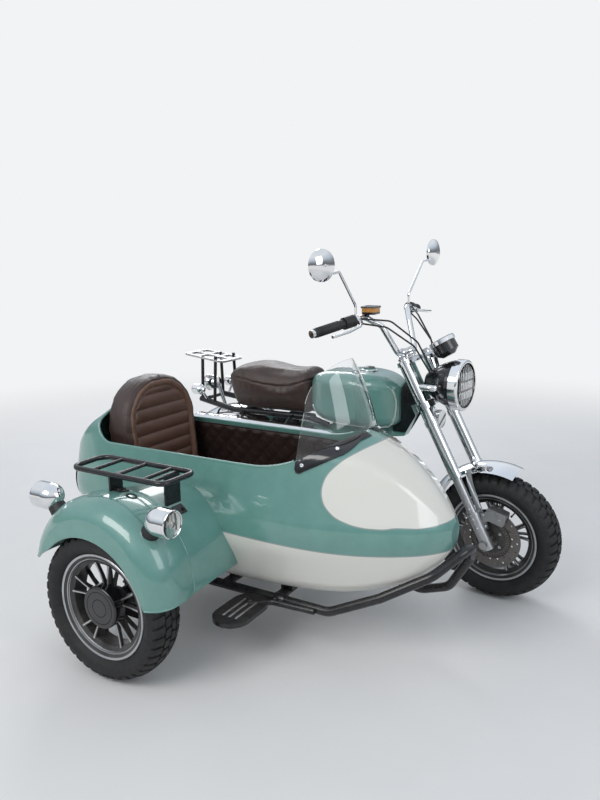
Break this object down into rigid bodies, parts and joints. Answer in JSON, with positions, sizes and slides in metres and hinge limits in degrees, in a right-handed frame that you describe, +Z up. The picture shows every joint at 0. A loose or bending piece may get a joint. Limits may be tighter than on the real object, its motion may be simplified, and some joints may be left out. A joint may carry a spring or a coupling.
{
  "type": "motorcycle with sidecar",
  "caption": "Small retro motorcycle with an open boat-tailed sidecar on its right, small windscreen, luggage racks and cast wheels.",
  "frame": {"origin": "bottom centre of the bounding box, on the ground plane under the wheels", "axes": "+X forward along the direction of travel, +Y to the rider's left, +Z up; the sidecar is on the -Y side"},
  "size_m": [1.6659, 1.6249, 1.3137],
  "materials": {
    "teal_paint": "gloss mint-teal paint",
    "hull_paint": "gloss teal over cream two-tone paint on fibreglass",
    "black_steel": "black powder coat",
    "chrome": "polished chrome plate",
    "silver": "silver-painted cast aluminium",
    "cast_alloy": "cast aluminium, slightly dull",
    "steel": "bare machined steel",
    "tyre": "black tyre rubber with block tread",
    "rubber": "black rubber",
    "black_plastic": "black gloss plastic",
    "leather": "dark brown stitched leather",
    "cushion": "dark brown channelled leather",
    "quilt": "dark brown diamond-quilted leather",
    "carpet": "black carpet",
    "clear": "clear acrylic",
    "lamp_glass": "clear ribbed lens",
    "red_lens": "red and amber lenses",
    "amber": "amber fluid reservoir with black lid",
    "mirror": "silvered mirror glass",
    "chain": "oiled steel chain"
  },
  "bodies": {
    "chassis": {"bike_covers": "black_plastic", "bike_frame": "teal_paint", "body_trims": "black_steel", "cockpit_floor": "carpet", "cockpit_lining": "quilt", "drive_chain": "chain", "engine_case": "cast_alloy", "engine_cradle": "black_steel", "engine_cylinder": "cast_alloy", "exhaust": "chrome", "fender_lamp_bases": "rubber", "fender_lamp_lenses": "lamp_glass", "fender_lamps": "chrome", "fuel_tank": "teal_paint", "gear_lever": "black_steel", "heat_shield": "chrome", "rear_axle": "steel", "rear_fender": "chrome", "rear_lamps": "chrome", "rear_lenses": "red_lens", "saddle": "leather", "seat_rails": "black_steel", "shock_absorbers": "steel", "side_step": "black_steel", "sidecar_backrest": "cushion", "sidecar_body": "hull_paint", "sidecar_chassis": "black_steel", "sidecar_cushion": "cushion", "sidecar_fender": "teal_paint", "sidecar_rack": "black_steel", "swing_arm": "black_steel", "tail_rack": "silver", "windscreen": "clear"},
    "steering": {"fork_shrouds": "chrome", "fork_legs": "silver", "front_axle": "steel", "steering_clamps": "black_plastic", "front_fender": "chrome", "brake_caliper": "cast_alloy", "handlebar": "chrome", "grips": "rubber", "hand_levers": "chrome", "brake_reservoir": "amber", "mirrors": "chrome", "mirror_glasses": "mirror", "headlamp_bucket": "black_plastic", "headlamp_ring": "chrome", "headlamp_lens": "lamp_glass", "gauge": "black_plastic", "horn": "chrome", "control_cables": "rubber"},
    "front_wheel": {"front_rim": "silver", "front_tyre": "tyre", "front_disc": "steel"},
    "rear_wheel": {"rear_rim": "silver", "rear_tyre": "tyre", "rear_sprocket": "steel"},
    "sidecar_wheel": {"sidecar_rim": "silver", "sidecar_tyre": "tyre", "sidecar_hub_cap": "black_plastic"}
  },
  "joints": [
    {"name": "steering_head", "type": "hinge", "parent": "chassis", "child": "steering", "pos_m": [0.55222, 0.35237, 0.2365], "axis": [-0.4586, 0, 0.8886], "range_deg": [-29, 41]},
    {"name": "front_wheel_spin", "type": "hinge", "parent": "steering", "child": "front_wheel", "pos_m": [0.59704, 0.34819, 0.2364], "axis": [0.0929, 0.9945, 0.0479], "continuous": true},
    {"name": "rear_wheel_spin", "type": "hinge", "parent": "chassis", "child": "rear_wheel", "pos_m": [-0.55276, 0.35237, 0.2365], "axis": [0, 1, 0], "continuous": true},
    {"name": "sidecar_wheel_spin", "type": "hinge", "parent": "chassis", "child": "sidecar_wheel", "pos_m": [-0.26377, -0.73862, 0.2365], "axis": [0, 1, 0], "continuous": true}
  ]
}
